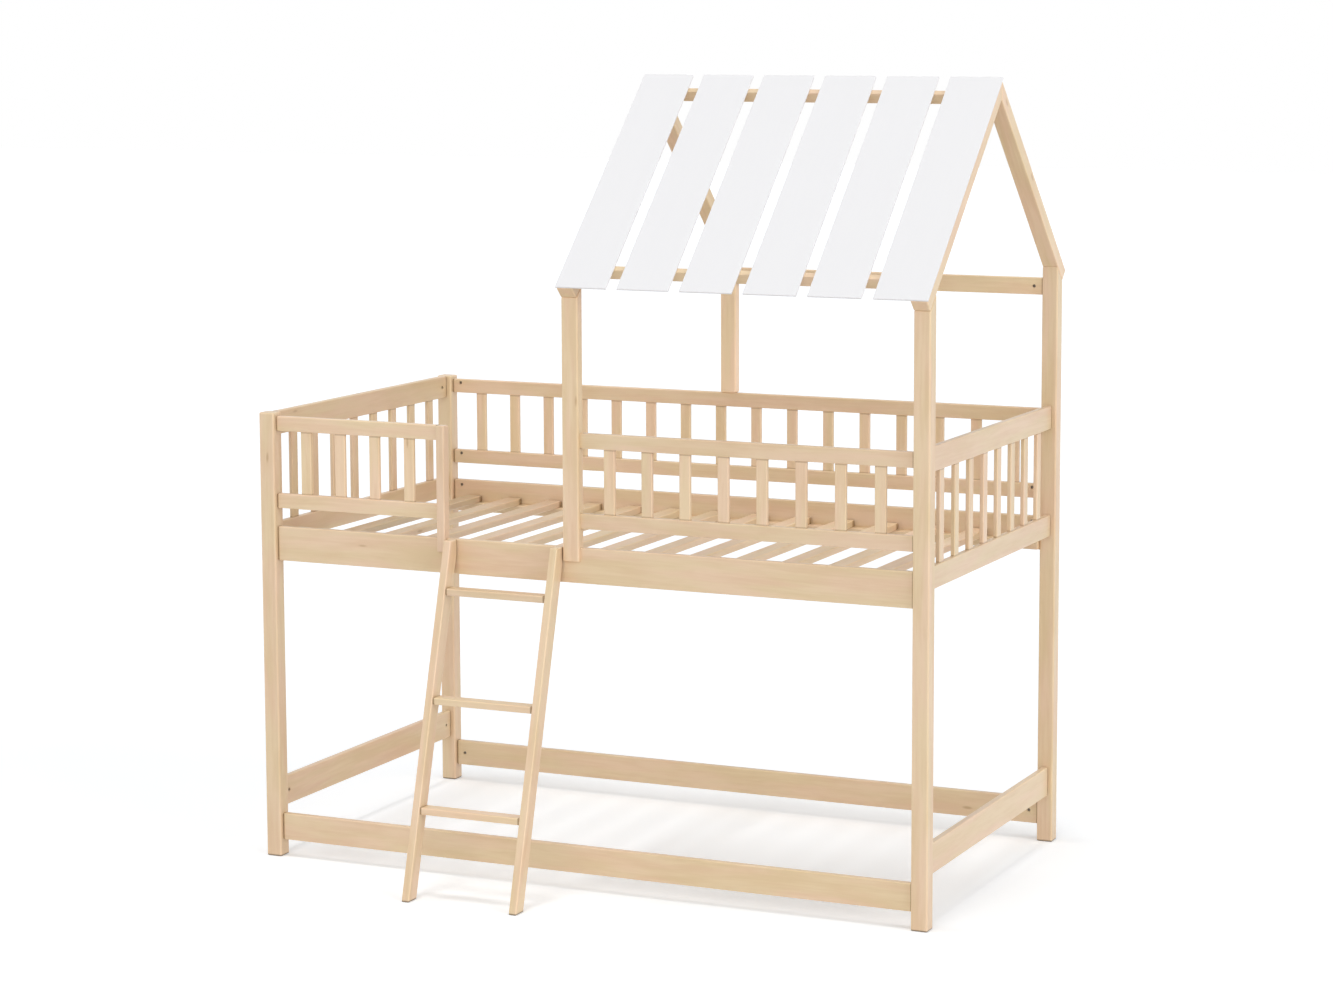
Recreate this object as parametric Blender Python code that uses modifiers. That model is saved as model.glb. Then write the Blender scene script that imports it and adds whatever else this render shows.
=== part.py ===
"""House bunk bed: a raised single bed on four posts, with slatted guards, a slanted ladder,
a frame of low rails at the floor and a gable roof over one half.

Metres, +Z up. +X runs along the bed from the foot end to the roofed end, +Y from the ladder side to
the back. Lengths are worked out from the outer front corner of the front left post, at the floor,
and the whole bed then hangs from one empty, which puts the world's origin at the middle of the
footprint, on the floor.
"""

import math

import bmesh
import bpy
from mathutils import Matrix

# Footprint and posts
BED_LENGTH = 2.020
BED_WIDTH = 1.075
POST_WIDTH = 0.047
POST_DEPTH = 0.044
POST_RISE = 0.010
JOINT_GAP = 0.0003
POST_ROUNDING = 0.004
EDGE_ROUNDING = 0.003

# Rails between the posts, centred in them
RAIL_THICKNESS = 0.019
SIDE_RAIL_BOTTOM = 0.858
SIDE_RAIL_HEIGHT = 0.098
LOW_SIDE_RAIL_BOTTOM = 0.048
LOW_SIDE_RAIL_HEIGHT = 0.077
LOW_END_RAIL_BOTTOM = 0.138
LOW_END_RAIL_HEIGHT = 0.084

# Blind bores for the cross nuts that draw the rails to the posts
CROSS_NUT_RADIUS = 0.005
CROSS_NUT_BORE = 0.012
CROSS_NUT_SETBACK = 0.028
SIDE_RAIL_NUT_DROP = 0.016
SIDE_GUARD_NUT_DROP = 0.011

# Bed base: ledgers along the side rails, slats across them
LEDGER_RISE = 0.004
LEDGER_HEIGHT = 0.028
LEDGER_WIDTH = 0.028
BED_SLAT_WIDTH = 0.050
BED_SLAT_THICKNESS = 0.0195
BED_SLAT_END_PLAY = 0.002
BED_SLAT_FOOT_MARGIN = 0.051
BED_SLAT_HEAD_MARGIN = 0.0245

# Guards: two rails with slats glued into them
GUARD_LIFT = 0.052
GUARD_HEIGHT = 0.262
GUARD_RAIL_HEIGHT = 0.042
END_GUARD_DROP = 0.054
END_GUARD_LOW_RAIL_HEIGHT = 0.062
END_GUARD_TOP_RAIL_HEIGHT = 0.067
GUARD_SLAT_WIDTH = 0.032
GUARD_SLAT_THICKNESS = 0.012
GUARD_SLAT_TENON = 0.010
GUARD_SLAT_ROUNDING = 0.002
BACK_GUARD_END_GAP_SHARE = 0.9

# How far the back guard's slats and the post on it stand towards the roofed end of their even places
BACK_OFFSET = 0.005

# The widest gap that is safe beside a child, which sets how many slats the guards and the base have
SLAT_GAP_LIMIT = 0.089

# Ladder opening: a stile on its left, the middle post on its right, both lapped over the side rail
STILE_LEFT = 0.567
STILE_WIDTH = 0.025
STILE_HOUSING = 0.0175
ENTRY_WIDTH = 0.365
MIDDLE_POST_WIDTH = 0.049
MIDDLE_POST_HOUSING = 0.0185
GUARD_HOUSING = 0.012
RAIL_LAP = 0.038

# Ladder
LADDER_LEFT_CLEARANCE = 0.010
LADDER_RIGHT_CLEARANCE = 0.004
LADDER_REACH = 0.285
STRINGER_THICKNESS = 0.023
STRINGER_DEPTH = 0.045
STRINGER_SEAT_SHARE = 0.82
TREAD_COUNT = 3
TREAD_THICKNESS = 0.0195
TREAD_DEPTH = 0.040
FIRST_TREAD_TOP = 0.249
LAST_STEP = 0.127

# Roof: two pairs of mitred rafters, two purlins, boards on the front slope and a rail at the back
ROOF_PITCH = math.radians(44.5)
EAVE_HEIGHT = 1.638
RAFTER_WIDTH = 0.047
RAFTER_THICKNESS = 0.038
PURLIN_THICKNESS = 0.015
PURLIN_DEPTH = 0.038
RIDGE_PURLIN_DROP = 0.0425
EAVE_PURLIN_RISE = 0.070
ROOF_BOARD_WIDTH = 0.152
ROOF_BOARD_THICKNESS = 0.005
ROOF_BOARD_OVERHANG = 0.003
ROOF_BOARD_GAP_LIMIT = 0.040
ROOF_BOARD_ROUNDING = 0.001
PURLIN_ROUNDING = 0.0015
BACK_RAIL_DROP = 0.041
BACK_RAIL_HEIGHT = 0.049

# How far a cutter runs past what it cuts, and how near two corners of an outline count as one
OVERRUN = 0.005
WELD_DISTANCE = 0.00001

# Lines that several pieces share
QUARTER_TURN = math.pi / 2
RAIL_INSET = (POST_DEPTH - RAIL_THICKNESS) / 2
FRONT_RAIL_MIDDLE = POST_DEPTH / 2
BACK_RAIL_MIDDLE = BED_WIDTH - POST_DEPTH / 2
LEFT_RAIL_MIDDLE = POST_WIDTH / 2
RIGHT_RAIL_MIDDLE = BED_LENGTH - POST_WIDTH / 2
CLEAR_LEFT = POST_WIDTH + JOINT_GAP
CLEAR_RIGHT = BED_LENGTH - POST_WIDTH - JOINT_GAP
CLEAR_FRONT = POST_DEPTH + JOINT_GAP
CLEAR_BACK = BED_WIDTH - POST_DEPTH - JOINT_GAP
SIDE_RAIL_TOP = SIDE_RAIL_BOTTOM + SIDE_RAIL_HEIGHT
GUARD_BOTTOM = SIDE_RAIL_TOP + GUARD_LIFT
GUARD_TOP = GUARD_BOTTOM + GUARD_HEIGHT
SHORT_POST_TOP = GUARD_TOP + POST_RISE
END_GUARD_BOTTOM = SIDE_RAIL_TOP - END_GUARD_DROP
STILE_RIGHT = STILE_LEFT + STILE_WIDTH
MIDDLE_POST_LEFT = STILE_RIGHT + ENTRY_WIDTH
MIDDLE_POST_RIGHT = MIDDLE_POST_LEFT + MIDDLE_POST_WIDTH
BACK_POST_LEFT = MIDDLE_POST_LEFT + BACK_OFFSET
BACK_POST_RIGHT = MIDDLE_POST_RIGHT + BACK_OFFSET
MIDDLE_POST_DEPTH = RAIL_INSET + MIDDLE_POST_HOUSING
LADDER_LEFT = STILE_RIGHT + LADDER_LEFT_CLEARANCE
LADDER_RIGHT = MIDDLE_POST_LEFT - LADDER_RIGHT_CLEARANCE
EAVE_REACH = RAFTER_THICKNESS * math.sin(ROOF_PITCH)

WOOD = (0.76, 0.57, 0.376)
FINISHES = {
    "post_wood": (WOOD, 0.50),
    "rail_wood": (WOOD, 0.50),
    "guard_wood": (WOOD, 0.48),
    "base_wood": (WOOD, 0.60),
    "ladder_wood": (WOOD, 0.48),
    "roof_wood": (WOOD, 0.50),
    "board_paint": ((0.90, 0.90, 0.91), 0.40),
}


# Scene

def clear_scene():
    for old in list(bpy.data.objects):
        bpy.data.objects.remove(old, do_unlink=True)


def new_collection(name):
    collection = bpy.data.collections.new(name)
    bpy.context.scene.collection.children.link(collection)
    return collection


def new_finish(name):
    colour, roughness = FINISHES[name]
    material = bpy.data.materials.new(name)
    material.use_nodes = True
    material.diffuse_color = (*colour, 1)
    shader = material.node_tree.nodes["Principled BSDF"]
    shader.inputs["Base Color"].default_value = (*colour, 1)
    shader.inputs["Roughness"].default_value = roughness
    shader.inputs["Metallic"].default_value = 0
    return material


clear_scene()
BED = new_collection("house_bunk_bed")
CUTTERS = new_collection("cutters")
MATERIALS = {name: new_finish(name) for name in FINISHES}
CENTRE = bpy.data.objects.new("bed_centre", None)
BED.objects.link(CENTRE)
CENTRE.location = (-BED_LENGTH / 2, (LADDER_REACH - BED_WIDTH - EAVE_REACH) / 2, 0)


def keep(piece, finish):
    """Takes a finished piece into the bed, hung from its centre, with its material."""
    piece.data.materials.clear()
    piece.data.materials.append(MATERIALS[finish])
    piece.parent = CENTRE
    return piece


# Shapes

def new_piece(name, grid, collection):
    """An object from a finished grid of faces."""
    mesh = bpy.data.meshes.new(name)
    grid.to_mesh(mesh)
    grid.free()
    piece = bpy.data.objects.new(name, mesh)
    collection.objects.link(piece)
    return piece


def bars(name, boxes, collection):
    """One mesh of separate straight bars, each given by its lowest and highest corner."""
    grid = bmesh.new()
    for low, high in boxes:
        size = [b - a for a, b in zip(low, high)]
        middle = [(a + b) / 2 for a, b in zip(low, high)]
        bmesh.ops.create_cube(grid, size=1, matrix=Matrix.Translation(middle) @ Matrix.Diagonal((*size, 1)))
    return new_piece(name, grid, collection)


def round_edges(piece, width, segments):
    rounding = piece.modifiers.new("rounded edges", "BEVEL")
    rounding.width = width
    rounding.segments = segments
    rounding.limit_method = "ANGLE"
    return piece


def rounded_bar(name, low, high, finish, rounding=EDGE_ROUNDING):
    """A straight piece of planed timber with its origin at its own middle."""
    middle = [(a + b) / 2 for a, b in zip(low, high)]
    bpy.ops.mesh.primitive_cube_add(size=1, location=middle)
    piece = bpy.context.object
    piece.name = name
    piece.scale = [b - a for a, b in zip(low, high)]
    bpy.ops.object.transform_apply(location=False, rotation=False, scale=True)
    for holder in list(piece.users_collection):
        holder.objects.unlink(piece)
    BED.objects.link(piece)
    round_edges(piece, rounding, 2)
    return keep(piece, finish)


def sawn_piece(name, outline, left, right, rounding, finish):
    """A piece sawn to an outline of (y, z) points, as wide in X as from left to right."""
    curve = bpy.data.curves.new(name + "_outline", "CURVE")
    curve.dimensions = "2D"
    curve.fill_mode = "BOTH"
    curve.extrude = (right - left) / 2
    spline = curve.splines.new("POLY")
    spline.points.add(len(outline) - 1)
    for point, (y, z) in zip(spline.points, outline):
        point.co = (y, z, 0, 1)
    spline.use_cyclic_u = True
    guide = bpy.data.objects.new(name + "_outline", curve)
    guide.location = ((left + right) / 2, 0, 0)
    guide.rotation_euler = (QUARTER_TURN, 0, QUARTER_TURN)
    bpy.context.scene.collection.objects.link(guide)
    bpy.context.view_layer.update()

    mesh = bpy.data.meshes.new_from_object(guide.evaluated_get(bpy.context.evaluated_depsgraph_get()))
    mesh.name = name
    grid = bmesh.new()
    grid.from_mesh(mesh)
    bmesh.ops.remove_doubles(grid, verts=grid.verts, dist=WELD_DISTANCE)
    bmesh.ops.dissolve_limit(grid, angle_limit=math.radians(1), verts=grid.verts, edges=grid.edges)
    bmesh.ops.recalc_face_normals(grid, faces=grid.faces)
    grid.to_mesh(mesh)
    grid.free()

    piece = bpy.data.objects.new(name, mesh)
    piece.matrix_world = guide.matrix_world.copy()
    bpy.data.objects.remove(guide, do_unlink=True)
    BED.objects.link(piece)
    round_edges(piece, rounding, 2)
    return keep(piece, finish)


def combine(piece, tool, operation, carrier):
    """Shapes a piece with a solid that isn't shown itself and that moves with the carrier."""
    tool.hide_render = True
    tool.display_type = "WIRE"
    tool.parent = carrier
    step = piece.modifiers.new(tool.name, "BOOLEAN")
    step.operation = operation
    step.object = tool
    step.solver = "EXACT"


def cut_boxes(piece, boxes):
    combine(piece, bars(piece.name + "_housings", boxes, CUTTERS), "DIFFERENCE", CENTRE)


def bore_for_nuts(piece, places, heading, carrier):
    """Blind bores at the (x, y, z) places on an inner face, going in level along the heading."""
    grid = bmesh.new()
    aim = Matrix.Rotation(heading, 4, "Z") @ Matrix.Rotation(QUARTER_TURN, 4, "Y")
    sink = Matrix.Translation((0, 0, (CROSS_NUT_BORE - OVERRUN) / 2))
    for place in places:
        bmesh.ops.create_cone(grid, cap_ends=True, segments=12, radius1=CROSS_NUT_RADIUS,
                              radius2=CROSS_NUT_RADIUS, depth=CROSS_NUT_BORE + OVERRUN,
                              matrix=Matrix.Translation(place) @ aim @ sink)
    combine(piece, new_piece(piece.name + "_nut_bores", grid, CUTTERS), "DIFFERENCE", carrier)


def spaced(start, end, width, gap_limit, end_gap_share):
    """The starts of the fewest evenly spaced copies whose gaps stay within the limit.

    end_gap_share is the gap before the first copy, and after the last, as a share of those between.
    """
    end_gaps = 2 * end_gap_share
    count = math.ceil((end - start - (end_gaps - 1) * gap_limit) / (width + gap_limit))
    gap = (end - start - count * width) / (count - 1 + end_gaps)
    return [start + end_gap_share * gap + number * (width + gap) for number in range(count)]


# Posts

def roof_seat(depth):
    """The height of the rafters' underside, less the joint gap, this far in from the post's outer face."""
    return EAVE_HEIGHT + depth * math.tan(ROOF_PITCH) - JOINT_GAP / math.cos(ROOF_PITCH)


def mirrored(outline):
    """The same outline at the back of the bed."""
    return [(BED_WIDTH - y, z) for y, z in outline]


def corner_posts():
    for name, y in (("post_front_left", 0), ("post_back_left", BED_WIDTH - POST_DEPTH)):
        rounded_bar(name, (0, y, 0), (POST_WIDTH, y + POST_DEPTH, SHORT_POST_TOP), "post_wood",
                    POST_ROUNDING)
    tall = [(0, 0), (POST_DEPTH, 0), (POST_DEPTH, roof_seat(POST_DEPTH)), (0, roof_seat(0))]
    for name, outline in (("post_front_right", tall), ("post_back_right", mirrored(tall))):
        sawn_piece(name, outline, BED_LENGTH - POST_WIDTH, BED_LENGTH, POST_ROUNDING, "post_wood")


def rail_lap_cut(left, right, foot):
    """The back of an upright's foot, cut away so that the rest laps over the side rail."""
    low = (left - OVERRUN, RAIL_INSET - JOINT_GAP, foot - OVERRUN)
    return low, (right + OVERRUN, POST_DEPTH, SIDE_RAIL_TOP + JOINT_GAP)


def guard_housing_cut(bottom, height):
    """The notch in the back of the middle post that takes the end of one guard rail."""
    low = (MIDDLE_POST_RIGHT - GUARD_HOUSING - JOINT_GAP, RAIL_INSET - JOINT_GAP, bottom - JOINT_GAP)
    return low, (MIDDLE_POST_RIGHT + OVERRUN, POST_DEPTH, bottom + height + JOINT_GAP)


def middle_posts():
    foot = SIDE_RAIL_TOP - RAIL_LAP
    depth = MIDDLE_POST_DEPTH
    front = sawn_piece(
        "post_front_middle", [(0, foot), (depth, foot), (depth, roof_seat(depth)), (0, roof_seat(0))],
        MIDDLE_POST_LEFT, MIDDLE_POST_RIGHT, POST_ROUNDING, "post_wood")
    cut_boxes(front, [
        rail_lap_cut(MIDDLE_POST_LEFT, MIDDLE_POST_RIGHT, foot),
        guard_housing_cut(GUARD_BOTTOM, GUARD_RAIL_HEIGHT),
        guard_housing_cut(GUARD_TOP - GUARD_RAIL_HEIGHT, GUARD_RAIL_HEIGHT),
    ])
    stand = GUARD_TOP + JOINT_GAP
    outer = POST_DEPTH / 2 - depth / 2
    inner = outer + depth
    back = [(outer, stand), (inner, stand), (inner, roof_seat(inner)), (outer, roof_seat(outer))]
    sawn_piece("post_back_middle", mirrored(back), BACK_POST_LEFT, BACK_POST_RIGHT, POST_ROUNDING,
               "post_wood")


# Rails

def rail_along_bed(name, left, right, middle, bottom, height, nut_height):
    """A rail in X, with a nut bore in its inner face at each end, this far above its lower edge."""
    low = (left, middle - RAIL_THICKNESS / 2, bottom)
    rail = rounded_bar(name, low, (right, middle + RAIL_THICKNESS / 2, bottom + height), "rail_wood")
    outward = -1 if middle < BED_WIDTH / 2 else 1
    face = middle - outward * RAIL_THICKNESS / 2
    ends = (left + CROSS_NUT_SETBACK, right - CROSS_NUT_SETBACK)
    bore_for_nuts(rail, [(x, face, bottom + nut_height) for x in ends], outward * QUARTER_TURN, CENTRE)


def rail_across_bed(name, middle, bottom, height):
    """A rail in Y, with a nut bore in its inner face at each end."""
    low = (middle - RAIL_THICKNESS / 2, CLEAR_FRONT, bottom)
    rail = rounded_bar(name, low, (middle + RAIL_THICKNESS / 2, CLEAR_BACK, bottom + height), "rail_wood")
    outward, heading = (-1, math.pi) if middle < BED_LENGTH / 2 else (1, 0)
    face = middle - outward * RAIL_THICKNESS / 2
    ends = (CLEAR_FRONT + CROSS_NUT_SETBACK, CLEAR_BACK - CROSS_NUT_SETBACK)
    bore_for_nuts(rail, [(face, y, bottom + height / 2) for y in ends], heading, CENTRE)


def rails():
    for side, middle in (("front", FRONT_RAIL_MIDDLE), ("back", BACK_RAIL_MIDDLE)):
        rail_along_bed("side_rail_" + side, CLEAR_LEFT, CLEAR_RIGHT, middle, SIDE_RAIL_BOTTOM,
                       SIDE_RAIL_HEIGHT, SIDE_RAIL_HEIGHT - SIDE_RAIL_NUT_DROP)
        rail_along_bed("low_rail_" + side, CLEAR_LEFT, CLEAR_RIGHT, middle, LOW_SIDE_RAIL_BOTTOM,
                       LOW_SIDE_RAIL_HEIGHT, LOW_SIDE_RAIL_HEIGHT / 2)
    rail_across_bed("low_rail_left", LEFT_RAIL_MIDDLE, LOW_END_RAIL_BOTTOM, LOW_END_RAIL_HEIGHT)
    rail_across_bed("low_rail_right", RIGHT_RAIL_MIDDLE, LOW_END_RAIL_BOTTOM, LOW_END_RAIL_HEIGHT)
    rail_along_bed("roof_back_rail", BACK_POST_RIGHT + JOINT_GAP, CLEAR_RIGHT, BACK_RAIL_MIDDLE,
                   EAVE_HEIGHT - BACK_RAIL_DROP, BACK_RAIL_HEIGHT, BACK_RAIL_HEIGHT / 2)


# Bed base

def bed_base():
    front_face = RAIL_INSET + RAIL_THICKNESS
    ledger_bottom = SIDE_RAIL_BOTTOM + LEDGER_RISE
    ledger_top = ledger_bottom + LEDGER_HEIGHT
    for side, low, high in (
        ("front", front_face + JOINT_GAP, front_face + JOINT_GAP + LEDGER_WIDTH),
        ("back", BED_WIDTH - front_face - JOINT_GAP - LEDGER_WIDTH, BED_WIDTH - front_face - JOINT_GAP),
    ):
        rounded_bar("ledger_" + side, (CLEAR_LEFT, low, ledger_bottom), (CLEAR_RIGHT, high, ledger_top),
                    "base_wood")
    places = spaced(POST_WIDTH + BED_SLAT_FOOT_MARGIN, BED_LENGTH - POST_WIDTH - BED_SLAT_HEAD_MARGIN,
                    BED_SLAT_WIDTH, SLAT_GAP_LIMIT, 0)
    front = front_face + BED_SLAT_END_PLAY
    bottom = ledger_top + JOINT_GAP
    for number, left in enumerate(places, 1):
        rounded_bar(f"bed_slat_{number:02d}", (left, front, bottom),
                    (left + BED_SLAT_WIDTH, BED_WIDTH - front, bottom + BED_SLAT_THICKNESS), "base_wood")


# Guards

def guard(name, length, levels, nut_heights, bolted_ends, inner_side, end_gap_share=1, slat_offset=0):
    """A guard along its own X axis from zero, centred on Y, with its rails at the (bottom, height) levels.

    The slats are spaced evenly between the two rails and tenoned into them. inner_side is the way in
    Y, 1 or -1, that faces the mattress, where the nut bores are.
    """
    half = RAIL_THICKNESS / 2
    rail_boxes = [((0, -half, bottom), (length, half, bottom + height)) for bottom, height in levels]
    panel = round_edges(bars(name, rail_boxes, BED), EDGE_ROUNDING, 2)

    (low_bottom, low_height), (top_bottom, top_height) = levels
    foot = low_bottom + low_height - GUARD_SLAT_TENON
    head = top_bottom + GUARD_SLAT_TENON
    places = [slat_offset + left
              for left in spaced(0, length, GUARD_SLAT_WIDTH, SLAT_GAP_LIMIT, end_gap_share)]
    slat_boxes = [((left, -GUARD_SLAT_THICKNESS / 2, foot),
                   (left + GUARD_SLAT_WIDTH, GUARD_SLAT_THICKNESS / 2, head)) for left in places]
    slats = round_edges(bars(name + "_slats", slat_boxes, CUTTERS), GUARD_SLAT_ROUNDING, 1)
    combine(panel, slats, "UNION", panel)

    ends = {"start": CROSS_NUT_SETBACK, "end": length - CROSS_NUT_SETBACK}
    mouths = [(ends[end], inner_side * half, z) for end in bolted_ends for z in nut_heights]
    bore_for_nuts(panel, mouths, -inner_side * QUARTER_TURN, panel)
    return keep(panel, "guard_wood")


def guards():
    side_levels = ((GUARD_BOTTOM, GUARD_RAIL_HEIGHT), (GUARD_TOP - GUARD_RAIL_HEIGHT, GUARD_RAIL_HEIGHT))
    end_levels = ((END_GUARD_BOTTOM, END_GUARD_LOW_RAIL_HEIGHT),
                  (SHORT_POST_TOP - END_GUARD_TOP_RAIL_HEIGHT, END_GUARD_TOP_RAIL_HEIGHT))

    side_nuts = [bottom + height - SIDE_GUARD_NUT_DROP for bottom, height in side_levels]
    end_nuts = [bottom + height / 2 for bottom, height in end_levels]

    short = guard("guard_front_short", STILE_LEFT - JOINT_GAP - CLEAR_LEFT, side_levels, side_nuts,
                  ("start",), 1)
    short.location = (CLEAR_LEFT, FRONT_RAIL_MIDDLE, 0)

    long_start = MIDDLE_POST_RIGHT - GUARD_HOUSING
    long = guard("guard_front_long", CLEAR_RIGHT - long_start, side_levels, side_nuts, ("end",), 1)
    long.location = (long_start, FRONT_RAIL_MIDDLE, 0)

    back = guard("guard_back", CLEAR_RIGHT - CLEAR_LEFT, side_levels, side_nuts, ("start", "end"), -1,
                 BACK_GUARD_END_GAP_SHARE, BACK_OFFSET)
    back.location = (CLEAR_LEFT, BACK_RAIL_MIDDLE, 0)

    for side, middle, inner_side in (("left", LEFT_RAIL_MIDDLE, -1), ("right", RIGHT_RAIL_MIDDLE, 1)):
        end = guard("guard_" + side, CLEAR_BACK - CLEAR_FRONT, end_levels, end_nuts, ("start", "end"),
                    inner_side)
        end.location = (middle, CLEAR_FRONT, 0)
        end.rotation_euler = (0, 0, QUARTER_TURN)


def guard_stile():
    """The upright that ends the short guard beside the ladder."""
    foot = SIDE_RAIL_TOP - RAIL_LAP
    stile = rounded_bar("guard_stile", (STILE_LEFT, 0, foot),
                        (STILE_RIGHT, RAIL_INSET + STILE_HOUSING, GUARD_TOP), "guard_wood")
    cut_boxes(stile, [rail_lap_cut(STILE_LEFT, STILE_RIGHT, foot)])


# Ladder

def ladder():
    """Two slanted stringers, seated on the side rail by a plumb cut, with level treads between them."""
    seat = RAIL_INSET - JOINT_GAP
    seat_depth = STRINGER_DEPTH * STRINGER_SEAT_SHARE
    lean = (seat - seat_depth + LADDER_REACH) / SIDE_RAIL_TOP

    def front_edge(height):
        return lean * height - LADDER_REACH

    seat_foot = SIDE_RAIL_TOP - (STRINGER_DEPTH - seat_depth) / lean
    outline = [
        (front_edge(0), 0),
        (front_edge(0) + STRINGER_DEPTH, 0),
        (seat, seat_foot),
        (seat, SIDE_RAIL_TOP),
        (front_edge(SIDE_RAIL_TOP), SIDE_RAIL_TOP),
    ]
    for side, left in (("left", LADDER_LEFT), ("right", LADDER_RIGHT - STRINGER_THICKNESS)):
        sawn_piece("ladder_stringer_" + side, outline, left, left + STRINGER_THICKNESS, EDGE_ROUNDING,
                   "ladder_wood")

    rise = (SIDE_RAIL_TOP - LAST_STEP - FIRST_TREAD_TOP) / (TREAD_COUNT - 1)
    left = LADDER_LEFT + STRINGER_THICKNESS + JOINT_GAP
    right = LADDER_RIGHT - STRINGER_THICKNESS - JOINT_GAP
    for number in range(TREAD_COUNT):
        top = FIRST_TREAD_TOP + number * rise
        middle = front_edge(top - TREAD_THICKNESS / 2) + STRINGER_DEPTH / 2
        rounded_bar(f"ladder_tread_{number + 1}", (left, middle - TREAD_DEPTH / 2, top - TREAD_THICKNESS),
                    (right, middle + TREAD_DEPTH / 2, top), "ladder_wood")


# Roof

def roof_point(along, above):
    """The (y, z) of a place on the front slope: along it from the rafter's sawn end, above its underside."""
    y = along * math.cos(ROOF_PITCH) - above * math.sin(ROOF_PITCH)
    return y, EAVE_HEIGHT + along * math.sin(ROOF_PITCH) + above * math.cos(ROOF_PITCH)


def ridge_along(above, setback):
    """How far along the slope the plumb plane is that lies this far in front of the ridge."""
    return (BED_WIDTH / 2 - setback + above * math.sin(ROOF_PITCH)) / math.cos(ROOF_PITCH)


def slope_layer(bottom, top, setback):
    """The outline of a layer of the front slope, square at the eave and plumb at the ridge."""
    return [roof_point(0, bottom), roof_point(ridge_along(bottom, setback), bottom),
            roof_point(ridge_along(top, setback), top), roof_point(0, top)]


def purlin(name, along):
    """A rail on edge between the rafter pairs, its outer edge in the plane of theirs."""
    bottom = RAFTER_THICKNESS - PURLIN_DEPTH
    outline = [roof_point(along, bottom), roof_point(along + PURLIN_THICKNESS, bottom),
               roof_point(along + PURLIN_THICKNESS, RAFTER_THICKNESS), roof_point(along, RAFTER_THICKNESS)]
    sawn_piece(name, outline, MIDDLE_POST_LEFT + RAFTER_WIDTH + JOINT_GAP,
               BED_LENGTH - RAFTER_WIDTH - JOINT_GAP, PURLIN_ROUNDING, "roof_wood")


def roof():
    rafter = slope_layer(0, RAFTER_THICKNESS, JOINT_GAP / 2)
    for side, left in (("left", MIDDLE_POST_LEFT), ("right", BED_LENGTH - RAFTER_WIDTH)):
        sawn_piece("rafter_front_" + side, rafter, left, left + RAFTER_WIDTH, EDGE_ROUNDING, "roof_wood")
        sawn_piece("rafter_back_" + side, mirrored(rafter), left, left + RAFTER_WIDTH, EDGE_ROUNDING,
                   "roof_wood")
    purlin("purlin_eave", EAVE_PURLIN_RISE)
    purlin("purlin_ridge", ridge_along(RAFTER_THICKNESS, 0) - RIDGE_PURLIN_DROP - PURLIN_THICKNESS)

    bottom = RAFTER_THICKNESS + JOINT_GAP
    board = slope_layer(bottom, bottom + ROOF_BOARD_THICKNESS, 0)
    places = spaced(MIDDLE_POST_LEFT - ROOF_BOARD_OVERHANG, BED_LENGTH + ROOF_BOARD_OVERHANG,
                    ROOF_BOARD_WIDTH, ROOF_BOARD_GAP_LIMIT, 0)
    for number, left in enumerate(places, 1):
        sawn_piece(f"roof_board_{number}", board, left, left + ROOF_BOARD_WIDTH, ROOF_BOARD_ROUNDING,
                   "board_paint")


corner_posts()
middle_posts()
rails()
bed_base()
guards()
guard_stile()
ladder()
roof()
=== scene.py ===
"""House bunk bed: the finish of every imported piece, the steel cross nuts in their bores, and a plain
pale studio seen from the photograph's side.

Metres, +Z up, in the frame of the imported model: +X runs along the bed to the roofed end and +Y to its
back, with the origin on the floor in the middle of the footprint.
"""

import math
import random
from collections import namedtuple

import bmesh
import bpy
from mathutils import Matrix, Vector


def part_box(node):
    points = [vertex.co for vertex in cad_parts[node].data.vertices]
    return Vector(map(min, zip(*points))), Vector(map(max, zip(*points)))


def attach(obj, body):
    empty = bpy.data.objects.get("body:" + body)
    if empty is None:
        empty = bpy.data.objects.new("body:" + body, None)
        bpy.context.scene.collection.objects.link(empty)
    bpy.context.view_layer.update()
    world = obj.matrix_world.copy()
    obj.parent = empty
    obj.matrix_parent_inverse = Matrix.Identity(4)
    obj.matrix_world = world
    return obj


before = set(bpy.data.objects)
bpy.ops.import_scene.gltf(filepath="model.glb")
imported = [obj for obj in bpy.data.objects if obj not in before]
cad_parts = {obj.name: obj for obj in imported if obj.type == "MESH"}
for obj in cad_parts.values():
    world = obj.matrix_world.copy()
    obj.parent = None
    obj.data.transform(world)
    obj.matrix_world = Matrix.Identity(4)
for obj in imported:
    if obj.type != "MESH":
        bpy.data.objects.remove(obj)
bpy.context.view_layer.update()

# View, with its angles in degrees and its lens in millimetres
CAMERA_PLACE = (3.939, -8.243, 2.399)
CAMERA_AZIMUTH = 23.378
CAMERA_TILT = -7.105
CAMERA_LENS = 88.293
SENSOR_WIDTH = 36
FRAME_SHIFT = (-0.0754, -0.060)
CAMERA_REACH = 200

# Grain directions
QUARTER_TURN = math.pi / 2
ALONG_BED = (0, 0, 0)
ACROSS_BED = (0, 0, -QUARTER_TURN)
UPRIGHT = (0, QUARTER_TURN, 0)

# A layer of noise: its grains a metre in X (which runs along a board's grain), Y and Z, and how fine it is
Noise = namedtuple("Noise", "stretch detail roughness", defaults=(2.0, 0.5))

# How strongly any finish's bump shows
BUMP_STRENGTH = 0.5

# A mix node's sockets by number, because those for vectors and those for colours have the same names
MIX_SHARE = 0
FIRST_VECTOR, SECOND_VECTOR, MIXED_VECTOR = 4, 5, 1
FIRST_COLOUR, SECOND_COLOUR, MIXED_COLOUR = 6, 7, 2

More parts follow.
